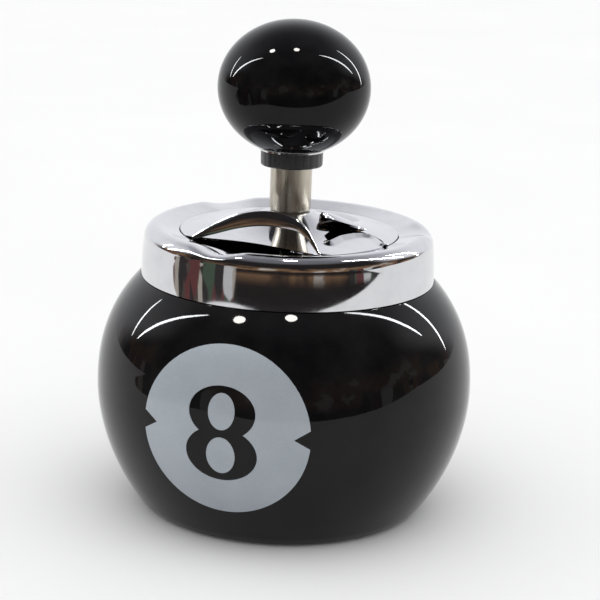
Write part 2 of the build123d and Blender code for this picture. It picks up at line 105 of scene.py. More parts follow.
# Rotor plate
PLATE_SHEET = 0.6
PLATE_RADIUS = 31.6
PLATE_EDGE = 81.9
PLATE_FLAT = 6.6
PLATE_HOLE = 4.6
PLATE_GRID = 0.55
TUBE_BOTTOM = node_bottom("push_tube")
PLATE_TOP = TUBE_BOTTOM - 0.3
CHORD_DISTANCE = 23.2
CHORD_ANGLE = math.radians(261.5)
ARCH_HEIGHT = 10.2
ARCH_BAND = 4.2
ARCH_THICKNESS = 0.8
ARCH_LEAN = 0.35
ARCH_END_BAND = 0.7
ARCH_END_GAP = 0.6
ARCH_INSET = 0.3
OPENING_STEP = 0.4
# Lanced opening and slit: corners seen from above, to the right of and away from the camera
OPENING = [
    (12.2, -9.1),
    (10.0, -14.1),
    (11.6, -19.0),
    (14.6, -14.0),
    (18.3, -9.9),
    (20.7, -8.0),
    (23.3, -7.3),
    (24.8, -9.8),
    (26.6, -15.4),
    (27.3, -14.6),
    (26.6, -10.0),
    (24.7, -5.6),
    (21.5, -3.4),
    (16.0, -4.4),
]
HOOD_FRONT = [(8.6, -7.4), (10.6, -7.4), (15.2, -5.6), (19.6, -2.4), (22.6, 1.2)]
HOOD_BACK = [(8.4, -7.0), (9.6, -3.0), (13.6, 1.0), (18.2, 2.8), (22.8, 1.8)]
HOOD_HEIGHT = 3.4
FLAP_LIFT = 0.9
FLAP_WIDTH = 1.1
FLAP_EDGES = range(2, 8)

# Tube, collar and knob
TUBE_RADIUS = node_size("push_tube")[0] / 2
TUBE_TOP = node_top("push_tube")
TUBE_WALL = 0.7
COLLAR_RADIUS = node_size("collar")[0] / 2
FLUTES = 24
FLUTE_DEPTH = 0.07
KNOB_RADIUS = node_size("knob")[0] / 2
KNOB_TOP = node_top("knob")
KNOB_HALF_HEIGHT = 19.4
KNOB_CENTRE = KNOB_TOP - KNOB_HALF_HEIGHT
KNOB_FLAT = 9.4


# --- mesh helpers -------------------------------------------------------------------------------


def oval_radius(height, radius, semi_height, exponent):
    """Radius of a superelliptic dome at a height above its widest place."""
    share = min(1.0, (abs(height) / semi_height)) ** exponent
    return radius * (1 - share) ** (1 / exponent)


def ball_radius_at(height, growth=0.0):
    """Radius of the ball's outside at a height above the floor."""
    rise = height - EQUATOR
    if rise > 0:
        return oval_radius(
            rise, BALL_RADIUS + growth, CROWN_SEMI_HEIGHT + growth, CROWN_EXPONENT
        )
    return oval_radius(rise, BALL_RADIUS + growth, FOOT_SEMI_HEIGHT + growth, FOOT_EXPONENT)


def eased(points, radii, steps):
    """A 2-D polyline with its corners rounded: radii maps a corner's index to its radius."""
    out = []
    for i, point in enumerate(points):
        radius = radii.get(i)
        if not radius or i in (0, len(points) - 1):
            out.append(Vector(point))
            continue
        here = Vector(point)
        back = (Vector(points[i - 1]) - here).normalized()
        ahead = (Vector(points[i + 1]) - here).normalized()
        half = back.angle(ahead) / 2
        reach = radius / math.tan(half)
        centre = here + (back + ahead).normalized() * (radius / math.sin(half))
        start = here + back * reach
        end = here + ahead * reach
        for step in range(steps + 1):
            t = step / steps
            chord = start.lerp(end, t) - centre
            out.append(centre + chord.normalized() * radius)
    return [tuple(p) for p in out]


def new_object(name, mesh):
    obj = bpy.data.objects.new(name, mesh)
    bpy.context.scene.collection.objects.link(obj)
    return obj


def mesh_object(name, verts, faces):
    """Smooth object from vertices in millimetres and faces, with its normals facing out."""
    mesh = bpy.data.meshes.new(name)
    mesh.from_pydata([tuple(c * MM for c in v) for v in verts], [], faces)
    bm = bmesh.new()
    bm.from_mesh(mesh)
    bmesh.ops.remove_doubles(bm, verts=bm.verts, dist=1e-7)
    bmesh.ops.recalc_face_normals(bm, faces=bm.faces)
    bm.to_mesh(mesh)
    bm.free()
    mesh.shade_smooth()
    return new_object(name, mesh)


def sharpen(obj, degrees):
    """Keep edges sharper than an angle crisp under smooth shading."""
    mesh = obj.data
    bm = bmesh.new()
    bm.from_mesh(mesh)
    limit = math.radians(degrees)
    for edge in bm.edges:
        if len(edge.link_faces) == 2:
            edge.smooth = edge.calc_face_angle(0) < limit
    bm.to_mesh(mesh)
    bm.free()


def lathe(name, outline, segments, closed=True, warp=None):
    """Turn an outline of (radius, height) about the z axis. warp(x, y, z) may move a vertex."""
    verts = []
    faces = []
    count = len(outline)
    for s in range(segments):
        angle = 2 * math.pi * s / segments
        c = math.cos(angle)
        n = math.sin(angle)
        for radius, height in outline:
            place = (radius * c, radius * n, height)
            verts.append(warp(*place) if warp else place)
    rows = count if closed else count - 1
    for s in range(segments):
        here = s * count
        there = ((s + 1) % segments) * count
        for k in range(rows):
            j = (k + 1) % count
            faces.append((here + k, here + j, there + j, there + k))
    obj = mesh_object(name, verts, faces)
    clean_poles(obj)
    return obj


def clean_poles(obj):
    """Drop the zero-area faces that a lathe leaves on its axis."""
    bm = bmesh.new()
    bm.from_mesh(obj.data)
    bmesh.ops.dissolve_degenerate(bm, edges=bm.edges, dist=1e-8)
    bm.to_mesh(obj.data)
    bm.free()


def smooth_min(a, b, soft):
    """Lower of two heights, blended over a soft band."""
    h = max(0.0, min(1.0, 0.5 + 0.5 * (b - a) / soft))
    return b * (1 - h) + a * h - soft * h * (1 - h)


# --- material helpers ---------------------------------------------------------------------------


class Nodes:
    """Adds nodes to a tree, with patterns placed by one kind of coordinates."""

    def __init__(self, tree, space):
        self.tree = tree
        self.coords = tree.nodes.new("ShaderNodeTexCoord").outputs[space]

    def link(self, source, target):
        self.tree.links.new(source, target)

    def mapping(self, scale):
        made = self.tree.nodes.new("ShaderNodeMapping")
        made.inputs["Scale"].default_value = scale
        self.link(self.coords, made.inputs["Vector"])
        return made.outputs["Vector"]

    def noise(self, scale, detail=4.0, roughness=0.5, stretch=(1, 1, 1), distortion=0.0):
        made = self.tree.nodes.new("ShaderNodeTexNoise")
        made.inputs["Scale"].default_value = scale
        made.inputs["Detail"].default_value = detail
        made.inputs["Roughness"].default_value = roughness
        made.inputs["Distortion"].default_value = distortion
        self.link(self.mapping(stretch), made.inputs["Vector"])
        return made.outputs["Fac"]

    def voronoi(self, scale, stretch=(1, 1, 1), output="Distance"):
        made = self.tree.nodes.new("ShaderNodeTexVoronoi")
        made.inputs["Scale"].default_value = scale
        self.link(self.mapping(stretch), made.inputs["Vector"])
        return made.outputs[output]

    def ramp(self, source, stops):
        made = self.tree.nodes.new("ShaderNodeValToRGB")
        ramp = made.color_ramp
        while len(ramp.elements) < len(stops):
            ramp.elements.new(0.5)
        for element, (place, color) in zip(ramp.elements, stops):
            element.position = place
            element.color = (*color, 1)
        self.link(source, made.inputs["Fac"])
        return made.outputs["Color"]

    def remap(self, source, low, high, from_low=0.0, from_high=1.0):
        made = self.tree.nodes.new("ShaderNodeMapRange")
        made.inputs["From Min"].default_value = from_low
        made.inputs["From Max"].default_value = from_high
        made.inputs["To Min"].default_value = low
        made.inputs["To Max"].default_value = high
        self.link(source, made.inputs["Value"])
        return made.outputs["Result"]

    def math(self, operation, first, second):
        made = self.tree.nodes.new("ShaderNodeMath")
        made.operation = operation
        for socket, value in zip(made.inputs, (first, second)):
            if isinstance(value, (int, float)):
                socket.default_value = value
            else:
                self.link(value, socket)
        return made.outputs["Value"]

    def mix(self, factor, first, second):
        made = self.tree.nodes.new("ShaderNodeMix")
        made.data_type = "RGBA"
        self.link(factor, made.inputs["Factor"])
        for socket, value in ((made.inputs["A"], first), (made.inputs["B"], second)):
            if isinstance(value, tuple):
                socket.default_value = (*value, 1)
            else:
                self.link(value, socket)
        return made.outputs["Result"]


class Shader(Nodes):
    """A node material built around one Principled BSDF."""

    def __init__(self, name):
        self.material = bpy.data.materials.new(name)
        self.material.use_nodes = True
        super().__init__(self.material.node_tree, "Object")
        self.bsdf = self.tree.nodes["Principled BSDF"]

    def bump(self, height, strength, distance, below=None):
        made = self.tree.nodes.new("ShaderNodeBump")
        made.inputs["Strength"].default_value = strength
        made.inputs["Distance"].default_value = distance
        self.link(height, made.inputs["Height"])
        if below:
            self.link(below, made.inputs["Normal"])
        return made.outputs["Normal"]

    def set(self, **values):
        """Set the BSDF's inputs: a number or colour is written, a socket is linked."""
        for key, value in values.items():
            socket = self.bsdf.inputs[key.replace("_", " ")]
            if isinstance(value, bpy.types.NodeSocket):
                self.link(value, socket)
            elif isinstance(value, tuple):
                socket.default_value = (*value, 1)
            else:
                socket.default_value = value
        return self.material


def glaze():
    """Deep black glaze: long soft waves, fine orange peel, faint drying marks and dust."""
    s = Shader("black_glaze")
    waves = s.noise(38, detail=2.0)
    peel = s.noise(520, detail=2.0)
    cloud = s.noise(70, detail=6.0, roughness=0.65)
    dust = s.ramp(s.voronoi(900), [(0.0, (1, 1, 1)), (0.035, (0, 0, 0))])
    color = s.ramp(cloud, [(0.3, (0.0022, 0.0022, 0.0026)), (0.7, (0.0062, 0.0058, 0.0058))])
    dusty = s.mix(s.math("MULTIPLY", dust, 0.35), color, (0.05, 0.05, 0.05))
    normal = s.bump(waves, 0.18, 0.0006)
    normal = s.bump(peel, 0.05, 0.00005, normal)
    return s.set(
        Base_Color=dusty,
        Roughness=s.remap(cloud, 0.015, 0.055, 0.3, 0.8),
        IOR=1.29,
        Normal=normal,
    )


def knob_gloss():
    """Black polished resin, blacker and smoother than the glaze, with hairline scuffs."""
    s = Shader("knob_gloss")
    cloud = s.noise(120, detail=5.0, roughness=0.6)
    hair = s.noise(300, detail=2.0, stretch=(1, 1, 14))
    color = s.ramp(cloud, [(0.35, (0.0016, 0.0016, 0.0018)), (0.7, (0.0045, 0.0044, 0.0046))])
    normal = s.bump(s.noise(60, detail=1.0), 0.1, 0.0004)
    return s.set(
        Base_Color=color,
        Roughness=s.remap(hair, 0.01, 0.05, 0.35, 0.75),
        IOR=1.27,
        Normal=normal,
    )


def transfer():
    """Silver-grey transfer: fine metallic grain, faint horizontal print lines, gloss overglaze."""
    s = Shader("silver_transfer")
    grain = s.noise(2600, detail=2.0, roughness=0.7)
    cloud = s.noise(90, detail=4.0)
    lines = s.noise(420, detail=2.0, stretch=(0.08, 0.08, 1))
    base = s.ramp(grain, [(0.25, (0.24, 0.27, 0.30)), (0.75, (0.32, 0.355, 0.39))])
    tone = s.ramp(cloud, [(0.3, (0.25, 0.28, 0.31)), (0.75, (0.32, 0.35, 0.385))])
    color = s.mix(s.remap(lines, 0.3, 0.7), base, tone)
    speck = s.ramp(s.voronoi(260), [(0.0, (1, 1, 1)), (0.04, (0, 0, 0))])
    color = s.mix(s.math("MULTIPLY", speck, 0.6), color, (0.05, 0.05, 0.055))
    return s.set(
        Base_Color=color,
        Metallic=0.25,
        Roughness=s.remap(grain, 0.38, 0.52),
        Coat_Weight=0.5,
        Coat_Roughness=0.06,
        Normal=s.bump(grain, 0.05, 0.00003),
    )


CHROME_TINT = (0.68, 0.685, 0.705)


def chrome(name, ripple):
    """Chrome plate on pressed steel: soft pressing ripples, polishing hairlines, faint haze."""
    s = Shader(name)
    sheet = s.noise(45, detail=2.0)
    haze = s.noise(160, detail=6.0, roughness=0.7)
    lines = s.noise(900, detail=2.0, stretch=(1, 1, 0.15))
    pits = s.ramp(s.voronoi(700), [(0.0, (1, 1, 1)), (0.03, (0, 0, 0))])
    dull = tuple(c * 0.82 for c in CHROME_TINT)
    color = s.mix(s.remap(haze, 0.0, 0.5, 0.45, 0.75), CHROME_TINT, dull)
    color = s.mix(s.math("MULTIPLY", pits, 0.5), color, (0.25, 0.24, 0.23))
    normal = s.bump(sheet, ripple, 0.0005)
    normal = s.bump(lines, 0.02, 0.00002, normal)
    return s.set(
        Base_Color=color,
        Metallic=1.0,
        Roughness=s.remap(haze, 0.03, 0.10, 0.35, 0.8),
        Normal=normal,
    )


def nickel():
    """Satin nickel tube: drawn lengthwise, warm grey with darker vertical streaks."""
    s = Shader("tube_nickel")
    streaks = s.noise(700, detail=3.0, roughness=0.6, stretch=(1, 1, 0.03))
    cloud = s.noise(150, detail=4.0, stretch=(1, 1, 0.4))
    color = s.ramp(streaks, [(0.3, (0.42, 0.38, 0.30)), (0.7, (0.66, 0.62, 0.53))])
    color = s.mix(s.remap(cloud, 0.0, 0.6, 0.4, 0.8), color, (0.40, 0.37, 0.31))
    return s.set(
        Base_Color=color,
        Metallic=1.0,
        Roughness=s.remap(streaks, 0.24, 0.36, 0.3, 0.7),
        Normal=s.bump(streaks, 0.12, 0.00004),
    )


def moulded(name, color, rough):
    """Moulded plastic or rubber: fine grain, slight colour drift and dusty high spots."""
    s = Shader(name)
    grain = s.noise(900, detail=3.0, roughness=0.6)
    cloud = s.noise(120, detail=4.0)
    light = tuple(min(1.0, c * 1.6 + 0.006) for c in color)
    tone = s.mix(s.remap(cloud, 0.0, 1.0, 0.35, 0.75), color, light)
    return s.set(
        Base_Color=tone,
        Roughness=s.remap(grain, rough - 0.08, rough + 0.12, 0.3, 0.7),
        Normal=s.bump(grain, 0.12, 0.00006),
    )


def plated(name, color, rough):
    """Zinc, steel or brass: brushed grain, stains and brighter worn patches."""
    s = Shader(name)
    grain = s.noise(1200, detail=3.0, stretch=(1, 1, 0.12))
    stain = s.noise(140, detail=6.0, roughness=0.7)
    dark = tuple(c * 0.6 for c in color)
    tone = s.mix(s.remap(stain, 0.0, 1.0, 0.4, 0.75), color, dark)
    return s.set(
        Base_Color=tone,
        Metallic=1.0,
        Roughness=s.remap(stain, rough - 0.08, rough + 0.15, 0.3, 0.8),
        Normal=s.bump(grain, 0.1, 0.00005),
    )


def felt():
    """Pressed felt: matted fibres in two scales over dark grey."""
    s = Shader("felt")
    fibre = s.noise(1400, detail=6.0, roughness=0.75, distortion=1.5)
    clump = s.noise(260, detail=4.0, roughness=0.6)
    color = s.ramp(fibre, [(0.3, (0.012, 0.012, 0.013)), (0.75, (0.06, 0.058, 0.056))])
    normal = s.bump(clump, 0.5, 0.0003)
    normal = s.bump(fibre, 0.8, 0.0002, normal)
    return s.set(Base_Color=color, Roughness=0.95, Sheen_Weight=0.4, Normal=normal)


# --- camera -------------------------------------------------------------------------------------

CAMERA_AZIMUTH = math.radians(17.2)
CAMERA_PITCH = math.radians(14.84)
CAMERA_ROLL = math.radians(2.13)
CAMERA_SIDE = 3.87
CAMERA_BACK = 531.7
CAMERA_HEIGHT = 201.9
CAMERA_LENS = 112.53


def photo_axes():
    """Level right, level forward and up, as the camera stands."""
    right = Vector((math.cos(CAMERA_AZIMUTH), math.sin(CAMERA_AZIMUTH), 0))
    forward = Vector((-math.sin(CAMERA_AZIMUTH), math.cos(CAMERA_AZIMUTH), 0))
    return right, forward, Vector((0, 0, 1))


def make_camera():
    right, forward, up = photo_axes()
    look = forward * math.cos(CAMERA_PITCH) - up * math.sin(CAMERA_PITCH)
    top = forward * math.sin(CAMERA_PITCH) + up * math.cos(CAMERA_PITCH)
    side = right * math.cos(CAMERA_ROLL) + top * math.sin(CAMERA_ROLL)
    top = top * math.cos(CAMERA_ROLL) - right * math.sin(CAMERA_ROLL)
    turn = Matrix((side, top, -look)).transposed().to_4x4()
    place = right * CAMERA_SIDE - forward * CAMERA_BACK + up * CAMERA_HEIGHT
    data = bpy.data.cameras.new("camera")
    data.lens = CAMERA_LENS
    data.sensor_width = 36.0
    data.clip_start = 0.01
    data.clip_end = 20
    data.dof.use_dof = False
    camera = new_object("camera", data)
    camera.matrix_world = Matrix.Translation(place * MM) @ turn
    bpy.context.scene.camera = camera


make_camera()


# --- bowl ---------------------------------------------------------------------------------------


def make_bowl():
    steps = 60
    foot_corner = ball_radius_at(FOOT_BOTTOM)
    foot_shoulder = FOOT_BOTTOM + 2.4
    side = []
    for k in range(steps + 1):
        height = foot_shoulder + (EQUATOR - foot_shoulder) * math.sin(0.5 * math.pi * k / steps)
        side.append((ball_radius_at(height), height))
    for k in range(1, steps + 1):
        height = EQUATOR + (LEDGE - EQUATOR) * math.sin(0.5 * math.pi * k / steps)
        side.append((ball_radius_at(height), height))
    foot = eased(
        [
            (PAD_RECESS_RADIUS, PAD_TOP),
            (PAD_RECESS_RADIUS, FOOT_BOTTOM),
            (foot_corner - 0.6, FOOT_BOTTOM),
            side[0],
        ],
        {1: 0.4, 2: 3.0},
        12,
    )[:-1]
    neck = eased(
        [
            side[-1],
            (NECK_RADIUS, LEDGE),
            (NECK_RADIUS, NECK_TOP),
            (NECK_BORE, NECK_TOP),
            (NECK_BORE, LEDGE + 2),
        ],
        {1: 0.5, 2: 1.2, 3: 1.2},
        8,
    )[1:]
    neck_share = (NECK_BORE / (BALL_RADIUS - WALL)) ** CROWN_EXPONENT
    inner_top = LEDGE - WALL
    inner_crown = (inner_top - EQUATOR) / (1 - neck_share) ** (1 / CROWN_EXPONENT)
    inner = []
    for k in range(steps + 1):
        height = EQUATOR + (inner_top - EQUATOR) * math.cos(0.5 * math.pi * k / steps)
        inner.append(
            (oval_radius(height - EQUATOR, BALL_RADIUS - WALL, inner_crown, CROWN_EXPONENT), height)
        )
    inner_foot = FOOT_SEMI_HEIGHT - WALL
    for k in range(1, steps + 1):
        height = EQUATOR - (EQUATOR - BOWL_FLOOR - 2) * math.sin(0.5 * math.pi * k / steps)
        inner.append(
            (oval_radius(height - EQUATOR, BALL_RADIUS - WALL, inner_foot, FOOT_EXPONENT), height)
        )
    corner = oval_radius(BOWL_FLOOR - EQUATOR, BALL_RADIUS - WALL, inner_foot, FOOT_EXPONENT)
    floor = eased([inner[-1], (corner, BOWL_FLOOR), (0, BOWL_FLOOR)], {1: 2.5}, 8)[1:]
    outline = [(0, PAD_TOP)] + foot + side + neck + inner + floor
    body = lathe("bowl_body", outline, 320, closed=False)
    sharpen(body, 50)
    body.data.materials.append(glaze())
    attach(body, "bowl")
    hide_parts("bowl")


# --- roundel ------------------------------------------------------------------------------------


def ellipse_loop(centre, half, count):
    """Closed loop of points on an ellipse."""
    loop = []
    for k in range(count):
        angle = 2 * math.pi * k / count
        x = half[0] * math.cos(angle)
        y = half[1] * math.sin(angle)
        loop.append((centre[0] + x, centre[1] + y))
    return loop


def in_ellipse(x, y, centre, half):
    return ((x - centre[0]) / half[0]) ** 2 + ((y - centre[1]) / half[1]) ** 2 < 1


# Lobes and counters of the figure 8: centre and half axes of each ellipse
UPPER = ((0.0, 6.1), (9.5, 7.4))
LOWER = ((0.0, -5.6), (10.2, 7.9))
UPPER_HOLE = ((0.0, 6.5), (3.8, 5.1))
LOWER_HOLE = ((0.0, -6.0), (4.1, 5.3))
LOBE_POINTS = 160
COUNTER_POINTS = 120
ROUNDEL_GRID = 0.8


def in_figure(x, y):
    """True inside the strokes of the figure 8, False in its counters."""
    if in_ellipse(x, y, *UPPER_HOLE) or in_ellipse(x, y, *LOWER_HOLE):
        return False
    return in_ellipse(x, y, *UPPER) or in_ellipse(x, y, *LOWER)


def in_notch(x, y):
    apex = ROUNDEL_RADIUS - NOTCH_DEPTH
    return abs(x) > apex and abs(y) < (abs(x) - apex) * 0.5 * NOTCH_OPENING / NOTCH_DEPTH


def make_roundel():
    """The transfer: a disc without its notches and figure, laid on the ball in small triangles."""
    upper = [p for p in ellipse_loop(*UPPER, LOBE_POINTS) if not in_ellipse(*p, *LOWER)]
    lower = [p for p in ellipse_loop(*LOWER, LOBE_POINTS) if not in_ellipse(*p, *UPPER)]
    upper.sort(key=lambda p: math.atan2(p[0], -(p[1] - UPPER[0][1])) % (2 * math.pi))
    lower.sort(key=lambda p: math.atan2(-p[0], p[1] - LOWER[0][1]) % (2 * math.pi))
    crossing = lobe_crossing()
    loops = [
        [crossing] + upper + [(-crossing[0], crossing[1])] + lower,
        ellipse_loop(*UPPER_HOLE, COUNTER_POINTS),
        ellipse_loop(*LOWER_HOLE, COUNTER_POINTS),
        roundel_edge(),
    ]
    verts2d, tris = triangulate(loops, ROUNDEL_GRID, on_roundel, ROUNDEL_RADIUS)
    verts = [on_ball(x, EQUATOR + z, TRANSFER) for x, z in verts2d]
    obj = mesh_object("roundel_transfer", verts, tris)
    face_out(obj, lambda place: place - Vector((0, 0, EQUATOR * MM)))
    thicken(obj, TRANSFER)
    sharpen(obj, 60)
    obj.data.materials.append(transfer())
    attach(obj, "bowl")
    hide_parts("number_roundel")


def lobe_crossing():
    """Where the two lobes of the figure cross, on the right-hand side."""
    low = UPPER[0][1] - UPPER[1][1]
    high = LOWER[0][1] + LOWER[1][1]
    for _ in range(40):
        y = 0.5 * (low + high)
        up = UPPER[1][0] * math.sqrt(max(0.0, 1 - ((y - UPPER[0][1]) / UPPER[1][1]) ** 2))
        down = LOWER[1][0] * math.sqrt(max(0.0, 1 - ((y - LOWER[0][1]) / LOWER[1][1]) ** 2))
        if up < down:
            low = y
        else:
            high = y
    return (up, y)


def roundel_edge():
    """Outer edge of the roundel, with its two notches."""
    half = math.atan2(0.5 * NOTCH_OPENING, ROUNDEL_RADIUS)
    apex = ROUNDEL_RADIUS - NOTCH_DEPTH
    count = 110
    edge = []
    for side in (0, 1):
        turn = side * math.pi
        edge.append((apex * math.cos(turn), 0.0))
        for k in range(count + 1):
            angle = turn + half + (math.pi - 2 * half) * k / count
            edge.append((ROUNDEL_RADIUS * math.cos(angle), ROUNDEL_RADIUS * math.sin(angle)))
    return edge


def on_roundel(x, y):
    if math.hypot(x, y) > ROUNDEL_RADIUS:
        return False
    return not in_notch(x, y) and not in_figure(x, y)


def on_ball(x, height, growth):
    """Point on the front of the ball at a sideways place and a height."""
    radius = ball_radius_at(height, growth)
    return (x, -math.sqrt(max(0.0, radius * radius - x * x)), height)


ROW_SHARE = 0.866  # height of a row of inner points, as a share of their spacing
EDGE_SHARE = 0.55  # least gap from an inner point to a loop, as a share of the spacing


def triangulate(loops, spacing, inside, reach):
    """Triangles that fill the inside of some closed 2-D loops, with evenly spread inner points."""
    points = []
    edges = []
    for loop in loops:
        first = len(points)
        points += [Vector(p) for p in loop]
        edges += [(first + k, first + (k + 1) % len(loop)) for k in range(len(loop))]
    cells = {}
    for x, y in points:
        cells.setdefault((round(x / spacing), round(y / spacing)), []).append((x, y))
    rows = int(reach / (spacing * ROW_SHARE)) + 2
    columns = int(reach / spacing) + 2
    for row in range(-rows, rows + 1):
        for column in range(-columns, columns + 1):
            x = (column + 0.5 * (row % 2)) * spacing
            y = row * spacing * ROW_SHARE
            if not inside(x, y):
                continue
            near = False
            cell = (round(x / spacing), round(y / spacing))
            for i in (-1, 0, 1):
                for j in (-1, 0, 1):
                    for px, py in cells.get((cell[0] + i, cell[1] + j), ()):
                        if math.hypot(px - x, py - y) < EDGE_SHARE * spacing:
                            near = True
            if not near:
                points.append(Vector((x, y)))
    made = delaunay_2d_cdt(points, edges, [], 0, 1e-5)
    verts2d = [tuple(v) for v in made[0]]
    tris = []
    for face in made[2]:
        cx = sum(verts2d[k][0] for k in face) / len(face)
        cy = sum(verts2d[k][1] for k in face) / len(face)
        if inside(cx, cy):
            tris.append(tuple(face))
    return verts2d, tris


def face_out(obj, outward):
    """Turn each face of an open skin the way that outward(its centre) points."""
    bm = bmesh.new()
    bm.from_mesh(obj.data)
    for face in bm.faces:
        if face.normal.dot(outward(face.calc_center_median())) < 0:
            face.normal_flip()
    bm.to_mesh(obj.data)
    bm.free()


def thicken(obj, thickness):
    """Give an open skin a thickness, inward from its outer side."""
    thick = obj.modifiers.new("thickness", "SOLIDIFY")
    thick.thickness = thickness * MM
    thick.offset = -1
    graph = bpy.context.evaluated_depsgraph_get()
    made = bpy.data.meshes.new_from_object(obj.evaluated_get(graph))
    obj.modifiers.clear()
    obj.data = made
    obj.data.shade_smooth()


# --- lid ----------------------------------------------------------------------------------------


def lid_outline(depth):
    """Section of the lid's skin from the skirt's edge to the lip's edge, at a depth."""
    shoulder_centre = CREST - SHOULDER
    lip_centre = LIP_RADIUS + LIP_BEND
    slope_start = CREST_RADIUS - SHOULDER * math.sin(LID_SLOPE)
    slope_top = shoulder_centre + SHOULDER * math.cos(LID_SLOPE)
    slope_end = lip_centre - LIP_BEND * math.sin(LID_SLOPE)
    lip_height = (
        slope_top - (slope_start - slope_end) * math.tan(LID_SLOPE) - LIP_BEND * math.cos(LID_SLOPE)
    )
    points = []
    skirt_steps = 12
    for k in range(skirt_steps + 1):
        share = k / skirt_steps
        radius = SKIRT_RADIUS - depth - SKIRT_LEAN * share * share
        points.append((radius, SKIRT_BOTTOM + (shoulder_centre - SKIRT_BOTTOM) * share))
    arc_steps = 28
    for k in range(1, arc_steps + 1):
        angle = (0.5 * math.pi + LID_SLOPE) * k / arc_steps
        radius = SHOULDER - depth
        lean = SKIRT_LEAN * max(0.0, math.cos(angle))
        across = CREST_RADIUS + radius * math.cos(angle) - lean
        points.append((across, shoulder_centre + radius * math.sin(angle)))
    bend = []
    bend_steps = 10
    for k in range(bend_steps + 1):
        angle = 0.5 * math.pi + LID_SLOPE + (0.5 * math.pi - LID_SLOPE) * k / bend_steps
        radius = LIP_BEND - depth
        bend.append((lip_centre + radius * math.cos(angle), lip_height + radius * math.sin(angle)))
    slope_steps = 14
    last = points[-1]
    for k in range(1, slope_steps):
        t = k / slope_steps
        points.append((last[0] + (bend[0][0] - last[0]) * t, last[1] + (bend[0][1] - last[1]) * t))
    points += bend
    points.append((LIP_RADIUS + depth, lip_height - 0.5 * LIP_DROP))
    points.append((LIP_RADIUS + depth, lip_height - LIP_DROP))
    return points


def press_rests(x, y, z):
    """Lower a point of the lid into the three pressed cigarette rests, which are wide and soft."""
    for angle in REST_ANGLES:
        out = x * math.cos(angle) + y * math.sin(angle)
        if out < 0 or z < CREST - 2 * SHOULDER:
            continue
        across = -x * math.sin(angle) + y * math.cos(angle)
        floor = CREST - REST_DEPTH + REST_SPREAD * across * across
        z = smooth_min(z, floor, REST_SOFTNESS)
    return x, y, z


def make_lid():
    outer = lid_outline(0)
    inner = lid_outline(LID_SHEET)
    outline = outer + inner[::-1]
    lid = lathe("lid_pressing", outline, 540, warp=press_rests)
    sharpen(lid, 60)
    lid.data.materials.append(chrome("lid_chrome", ripple=0.12))
    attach(lid, "lid")
    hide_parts("lid_ring")


# --- rotor plate --------------------------------------------------------------------------------


def turned(x, y):
    """Place on the plate of a point given level right of and away from the camera."""
    c = math.cos(CAMERA_AZIMUTH)
    n = math.sin(CAMERA_AZIMUTH)
    return x * c - y * n, x * n + y * c


def beyond_chord(x, y):
    return x * math.cos(CHORD_ANGLE) + y * math.sin(CHORD_ANGLE) > CHORD_DISTANCE


def in_polygon(x, y, corners):
    inside = False
    for k, (ax, ay) in enumerate(corners):
        bx, by = corners[k - 1]
        if (ay > y) != (by > y) and x < ax + (y - ay) * (bx - ax) / (by - ay):
            inside = not inside
    return inside


def opening_loop():
    """Edge of the lanced opening: straight runs between its corners, in short steps."""
    corners = [turned(*p) for p in OPENING]
    loop = []
    for k, corner in enumerate(corners):
        here = Vector(corner)
        there = Vector(corners[(k + 1) % len(corners)])
        steps = max(2, int((there - here).length / OPENING_STEP))
        loop += [tuple(here.lerp(there, t / steps)) for t in range(steps)]
    return loop


OPENING_LOOP = opening_loop()


def on_plate(x, y):
    radius = math.hypot(x, y)
    if radius > PLATE_RADIUS or radius < PLATE_HOLE or beyond_chord(x, y):
        return False
    return not in_polygon(x, y, OPENING_LOOP)


def bell_height(x, y):
    """Bell shape of the plate: flat under the tube, steep beside it and level at its rim."""
    radius = math.hypot(x, y)
    if radius <= PLATE_FLAT:
        return PLATE_TOP
    reach = (PLATE_RADIUS - radius) / (PLATE_RADIUS - PLATE_FLAT)
    return PLATE_EDGE + (PLATE_TOP - PLATE_EDGE) * max(0.0, reach) ** 2


def distance_to_line(x, y, ax, ay, bx, by):
    here = Vector((x - ax, y - ay))
    line = Vector((bx - ax, by - ay))
    t = max(0.0, min(1.0, here.dot(line) / line.length_squared))
    return (here - line * t).length


def plate_height(x, y):
    """Upper surface of the plate: its bell, with the flap beside the opening bent up."""
    height = bell_height(x, y)
    for k in FLAP_EDGES:
        start = turned(*OPENING[k])
        end = turned(*OPENING[k + 1])
        gap = distance_to_line(x, y, *start, *end)
        lean = FLAP_LIFT * math.exp(-((gap / FLAP_WIDTH) ** 2))
        height = max(height, bell_height(x, y) + lean)
    return height


def plate_edge_loop():
    """Rim of the plate with its straight chord."""
    half = math.acos(CHORD_DISTANCE / PLATE_RADIUS)
    start = CHORD_ANGLE + half
    sweep = 2 * math.pi - 2 * half
    loop = []
    count = 300
    chord_steps = 60
    for k in range(count + 1):
        angle = start + sweep * k / count
        loop.append((PLATE_RADIUS * math.cos(angle), PLATE_RADIUS * math.sin(angle)))
    ends = (Vector(loop[-1]), Vector(loop[0]))
    for k in range(1, chord_steps):
        loop.append(tuple(ends[0].lerp(ends[1], k / chord_steps)))
    return loop


def finish_rotor(obj):
    sharpen(obj, 50)
    obj.data.materials.append(rotor_chrome)
    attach(obj, "rotor")
    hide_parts("rotor_plate")


def make_plate():
    hole = ellipse_loop((0, 0), (PLATE_HOLE, PLATE_HOLE), 72)
    loops = [plate_edge_loop(), hole, OPENING_LOOP]
    verts2d, tris = triangulate(loops, PLATE_GRID, on_plate, PLATE_RADIUS)
    verts = [(x, y, plate_height(x, y)) for x, y in verts2d]
    obj = mesh_object("rotor_sheet", verts, tris)
    face_out(obj, lambda place: Vector((0, 0, 1)))
    thicken(obj, PLATE_SHEET)
    finish_rotor(obj)


